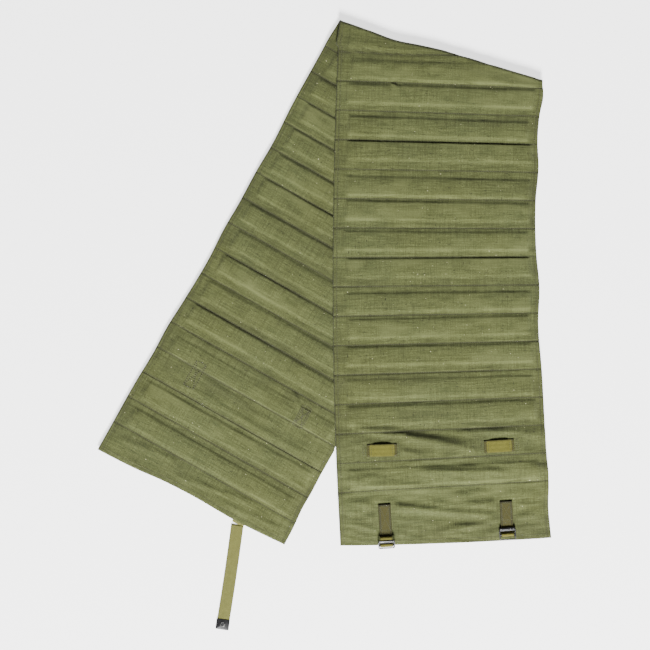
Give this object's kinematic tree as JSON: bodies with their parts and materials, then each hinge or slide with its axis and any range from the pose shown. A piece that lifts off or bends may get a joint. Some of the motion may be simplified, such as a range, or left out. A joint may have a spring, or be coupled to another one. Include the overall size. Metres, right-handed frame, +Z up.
{
  "type": "folding mat stretcher",
  "caption": "Roll-up canvas mat stretcher with sewn cross pockets and stiffening strips, webbing straps with metal tips, keepers and loop buckles, folded over once on a slanting crease.",
  "frame": {"origin": "centre of the folded mat's bounding box, on the floor", "axes": "+Z up, +Y from the free ends towards the slanting crease, the upper leg nearly along Y"},
  "size_m": [0.8947, 1.2179, 0.0232],
  "materials": {
    "canvas": "matte woven canvas",
    "felt": "matte felt",
    "webbing": "matte woven webbing",
    "black_metal": "worn black enamel"
  },
  "bodies": {
    "lower_leg": {"lower_cover": "canvas", "fold_strip_lower": "felt", "lower_strip_01": "felt", "lower_strip_02": "felt", "lower_strip_03": "felt", "lower_strip_04": "felt", "lower_strip_05": "felt", "lower_strip_06": "felt", "lower_strip_07": "felt", "lower_strip_08": "felt", "lower_strip_09": "felt", "lower_strip_10": "felt", "lower_strip_11": "felt", "lower_strip_12": "felt", "lower_strip_13": "felt", "strap_a": "webbing", "strap_a_tip": "black_metal", "strap_b_root": "webbing"},
    "fold": {"fold_cover_upper": "canvas", "fold_strip_upper": "felt"},
    "upper_01": {"upper_pocket_01": "canvas", "upper_strip_01": "felt"},
    "upper_02": {"upper_pocket_02": "canvas", "upper_strip_02": "felt"},
    "upper_03": {"upper_pocket_03": "canvas", "upper_strip_03": "felt"},
    "upper_04": {"upper_pocket_04": "canvas", "upper_strip_04": "felt"},
    "upper_05": {"upper_pocket_05": "canvas", "upper_strip_05": "felt"},
    "upper_06": {"upper_pocket_06": "canvas", "upper_strip_06": "felt"},
    "upper_07": {"upper_pocket_07": "canvas", "upper_strip_07": "felt"},
    "upper_08": {"upper_pocket_08": "canvas", "upper_strip_08": "felt"},
    "upper_09": {"upper_pocket_09": "canvas", "upper_strip_09": "felt"},
    "upper_10": {"upper_pocket_10": "canvas", "upper_strip_10": "felt"},
    "upper_11": {"upper_pocket_11": "canvas", "upper_strip_11": "felt"},
    "upper_12": {"upper_pocket_12": "canvas", "upper_strip_12": "felt"},
    "upper_13": {"upper_pocket_13": "canvas", "keeper_left": "webbing", "keeper_right": "webbing"},
    "upper_14": {"upper_pocket_14": "canvas", "upper_strip_14": "felt"},
    "flap": {"buckle_flap": "canvas", "buckle_tab_left": "webbing", "buckle_tab_right": "webbing"},
    "buckle_left": {"buckle_left": "black_metal"},
    "buckle_right": {"buckle_right": "black_metal"},
    "lower_15": {"lower_pocket_15": "canvas", "lower_strip_15": "felt"},
    "lower_16": {"lower_pocket_16": "canvas", "lower_strip_16": "felt"},
    "strap_tail": {"strap_b_tail": "webbing", "strap_b_tail_tip": "black_metal"}
  },
  "joints": [
    {"name": "main_fold", "type": "hinge", "parent": "lower_leg", "child": "fold", "pos_m": [0.2329, 0.55285, 0.0112], "axis": [-0.9622, 0.2723, 0], "range_deg": [0, 179]},
    {"name": "upper_seam_01", "type": "hinge", "parent": "fold", "child": "upper_01", "pos_m": [0.23029, 0.4849, 0.0154], "axis": [-0.9993, 0.0384, 0], "range_deg": [0, 32.5]},
    {"name": "upper_seam_02", "type": "hinge", "parent": "upper_01", "child": "upper_02", "pos_m": [0.22808, 0.42744, 0.0154], "axis": [-0.9995, 0.0314, 0], "range_deg": [0, 33.18]},
    {"name": "upper_seam_03", "type": "hinge", "parent": "upper_02", "child": "upper_03", "pos_m": [0.22628, 0.36997, 0.0154], "axis": [-0.9997, 0.0244, 0], "range_deg": [0, 33.88]},
    {"name": "upper_seam_04", "type": "hinge", "parent": "upper_03", "child": "upper_04", "pos_m": [0.22487, 0.31249, 0.0154], "axis": [-0.9998, 0.0175, 0], "range_deg": [0, 34.64]},
    {"name": "upper_seam_05", "type": "hinge", "parent": "upper_04", "child": "upper_05", "pos_m": [0.22387, 0.255, 0.0154], "axis": [-0.9999, 0.0105, 0], "range_deg": [0, 35.44]},
    {"name": "upper_seam_06", "type": "hinge", "parent": "upper_05", "child": "upper_06", "pos_m": [0.22327, 0.1975, 0.0154], "axis": [-1, 0.0035, 0], "range_deg": [0, 36.33]},
    {"name": "upper_seam_07", "type": "hinge", "parent": "upper_06", "child": "upper_07", "pos_m": [0.22307, 0.14, 0.0154], "axis": [-1, -0.0035, 0], "range_deg": [0, 37.25]},
    {"name": "upper_seam_08", "type": "hinge", "parent": "upper_07", "child": "upper_08", "pos_m": [0.22327, 0.0825, 0.0154], "axis": [-0.9999, -0.0105, 0], "range_deg": [0, 38.28]},
    {"name": "upper_seam_09", "type": "hinge", "parent": "upper_08", "child": "upper_09", "pos_m": [0.22387, 0.025, 0.0154], "axis": [-0.9998, -0.0175, 0], "range_deg": [0, 39.38]},
    {"name": "upper_seam_10", "type": "hinge", "parent": "upper_09", "child": "upper_10", "pos_m": [0.22487, -0.03249, 0.0154], "axis": [-0.9997, -0.0244, 0], "range_deg": [0, 40.59]},
    {"name": "upper_seam_11", "type": "hinge", "parent": "upper_10", "child": "upper_11", "pos_m": [0.22628, -0.08997, 0.0154], "axis": [-0.9995, -0.0314, 0], "range_deg": [0, 41.93]},
    {"name": "upper_seam_12", "type": "hinge", "parent": "upper_11", "child": "upper_12", "pos_m": [0.22808, -0.14744, 0.0154], "axis": [-0.9993, -0.0384, 0], "range_deg": [0, 43.4]},
    {"name": "upper_seam_13", "type": "hinge", "parent": "upper_12", "child": "upper_13", "pos_m": [0.23029, -0.2049, 0.0154], "axis": [-0.999, -0.0454, 0], "range_deg": [0, 45.05]},
    {"name": "upper_seam_14", "type": "hinge", "parent": "upper_13", "child": "upper_14", "pos_m": [0.2329, -0.26234, 0.0154], "axis": [-0.9986, -0.0523, 0], "range_deg": [0, 46.9]},
    {"name": "upper_seam_15", "type": "hinge", "parent": "upper_14", "child": "flap", "pos_m": [0.2359, -0.31965, 0.01189], "axis": [-0.9982, -0.0593, -0.0004], "range_deg": [0, 84.01]},
    {"name": "lower_seam_15", "type": "hinge", "parent": "lower_leg", "child": "lower_15", "pos_m": [-0.18535, -0.18942, 0.007], "axis": [-0.8712, 0.4909, 0], "range_deg": [0, 90]},
    {"name": "lower_seam_16", "type": "hinge", "parent": "lower_15", "child": "lower_16", "pos_m": [-0.21358, -0.23952, 0.007], "axis": [-0.8712, 0.4909, 0], "range_deg": [0, 90]},
    {"name": "strap_tail_lift", "type": "hinge", "parent": "lower_leg", "child": "strap_tail", "pos_m": [-0.17455, -0.39638, 0.0007], "axis": [-0.9893, 0.1461, 0], "range_deg": [0, 75]},
    {"name": "buckle_pivot_left", "type": "hinge", "parent": "flap", "child": "buckle_left", "pos_m": [0.12464, -0.43665, 0.00913], "axis": [0.9982, 0.0593, 0.0004], "range_deg": [-40, 3]},
    {"name": "buckle_pivot_right", "type": "hinge", "parent": "flap", "child": "buckle_right", "pos_m": [0.3668, -0.41528, 0.00985], "axis": [0.9982, 0.0593, 0.0004], "range_deg": [0, 24]}
  ],
  "couplings": [
    {"joint": "upper_seam_02", "follows": "upper_seam_01", "ratio": 1.0206},
    {"joint": "upper_seam_03", "follows": "upper_seam_01", "ratio": 1.0425},
    {"joint": "upper_seam_04", "follows": "upper_seam_01", "ratio": 1.0655},
    {"joint": "upper_seam_05", "follows": "upper_seam_01", "ratio": 1.0905},
    {"joint": "upper_seam_06", "follows": "upper_seam_01", "ratio": 1.1175},
    {"joint": "upper_seam_07", "follows": "upper_seam_01", "ratio": 1.1462},
    {"joint": "upper_seam_08", "follows": "upper_seam_01", "ratio": 1.1775},
    {"joint": "upper_seam_09", "follows": "upper_seam_01", "ratio": 1.2117},
    {"joint": "upper_seam_10", "follows": "upper_seam_01", "ratio": 1.2489},
    {"joint": "upper_seam_11", "follows": "upper_seam_01", "ratio": 1.2898},
    {"joint": "upper_seam_12", "follows": "upper_seam_01", "ratio": 1.3354},
    {"joint": "upper_seam_13", "follows": "upper_seam_01", "ratio": 1.3859},
    {"joint": "upper_seam_14", "follows": "upper_seam_01", "ratio": 1.4428},
    {"joint": "upper_seam_15", "follows": "upper_seam_01", "ratio": 2.5849},
    {"joint": "lower_seam_16", "follows": "lower_seam_15", "ratio": 1}
  ]
}
